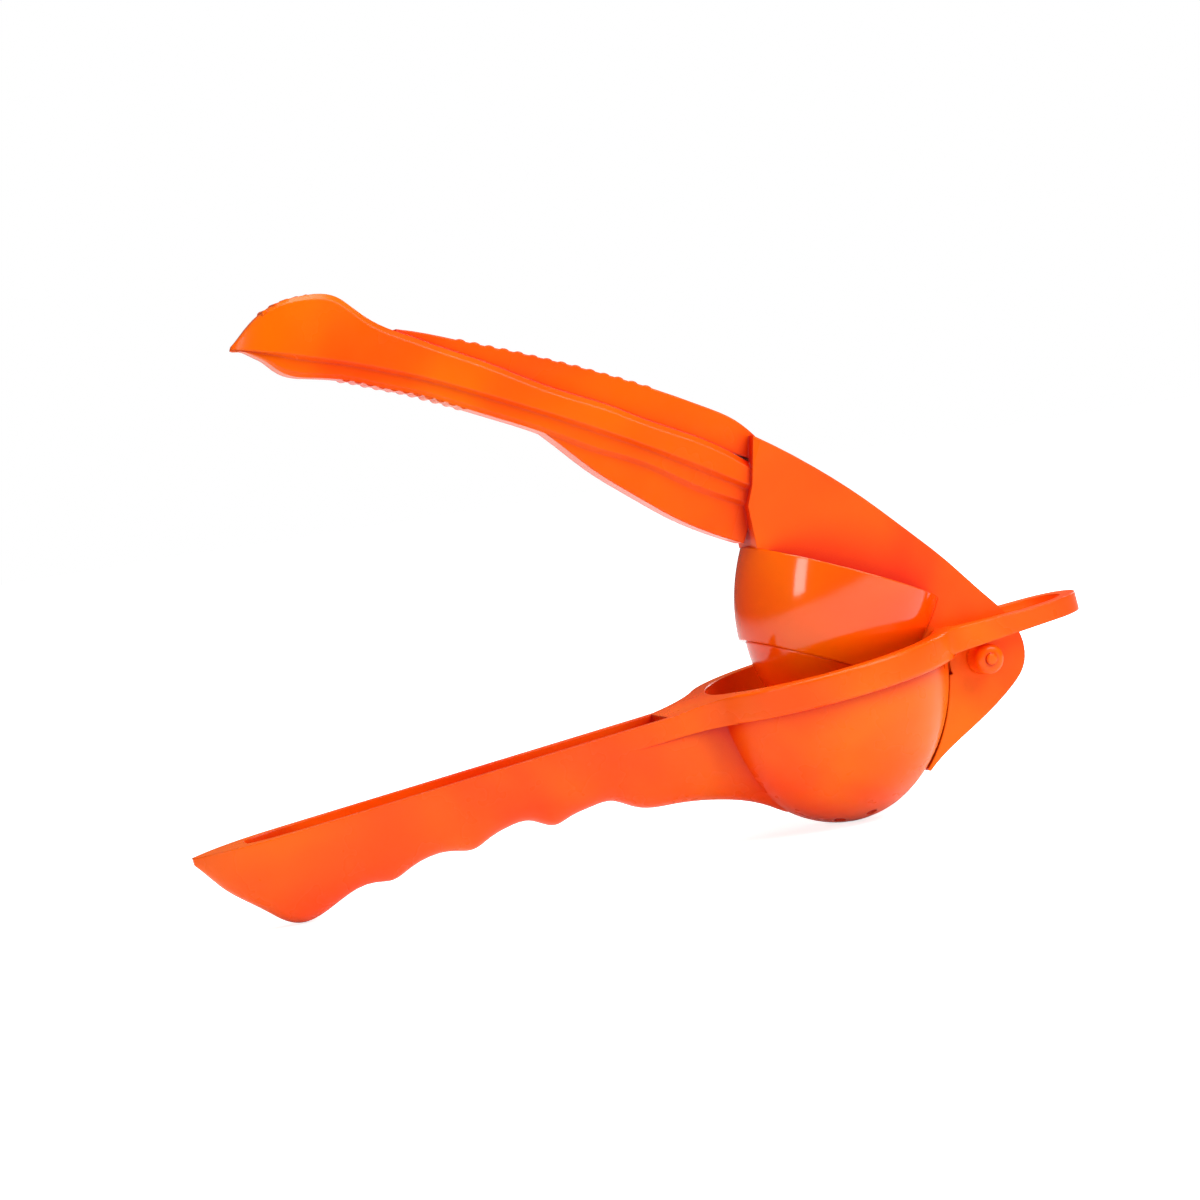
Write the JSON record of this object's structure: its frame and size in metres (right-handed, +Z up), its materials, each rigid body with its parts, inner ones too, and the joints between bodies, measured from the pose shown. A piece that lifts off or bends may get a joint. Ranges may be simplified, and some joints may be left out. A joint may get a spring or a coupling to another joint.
{
  "type": "hand citrus squeezer",
  "caption": "Hinged plastic hand press for citrus halves: a perforated bowl lever hooks round a press lever that carries a domed plunger.",
  "frame": {"origin": "middle of the open squeezer's bounding box at the level of the ground that its bowl and its handle's heel stand on", "axes": "+X from the handles towards the hanging loop, +Y along the hinge pin, +Z up"},
  "size_m": [0.2116, 0.062, 0.1355],
  "materials": {
    "lever_plastic": "glossy orange moulded plastic",
    "press_plastic": "glossy orange moulded plastic, satin on the broad flat head",
    "plunger_plastic": "polished orange moulded plastic",
    "pin_plastic": "glossy orange moulded plastic"
  },
  "bodies": {
    "bowl_lever": {"lower_lever": "lever_plastic"},
    "press_lever": {"upper_lever": "press_plastic", "plunger_cup": "plunger_plastic", "plunger_nose": "plunger_plastic", "hinge_pin": "pin_plastic"}
  },
  "joints": [
    {"name": "hinge", "type": "hinge", "parent": "bowl_lever", "child": "press_lever", "pos_m": [0.07846, 0, 0.03209], "axis": [0, 1, 0], "range_deg": [-30.4, 0.6]}
  ]
}
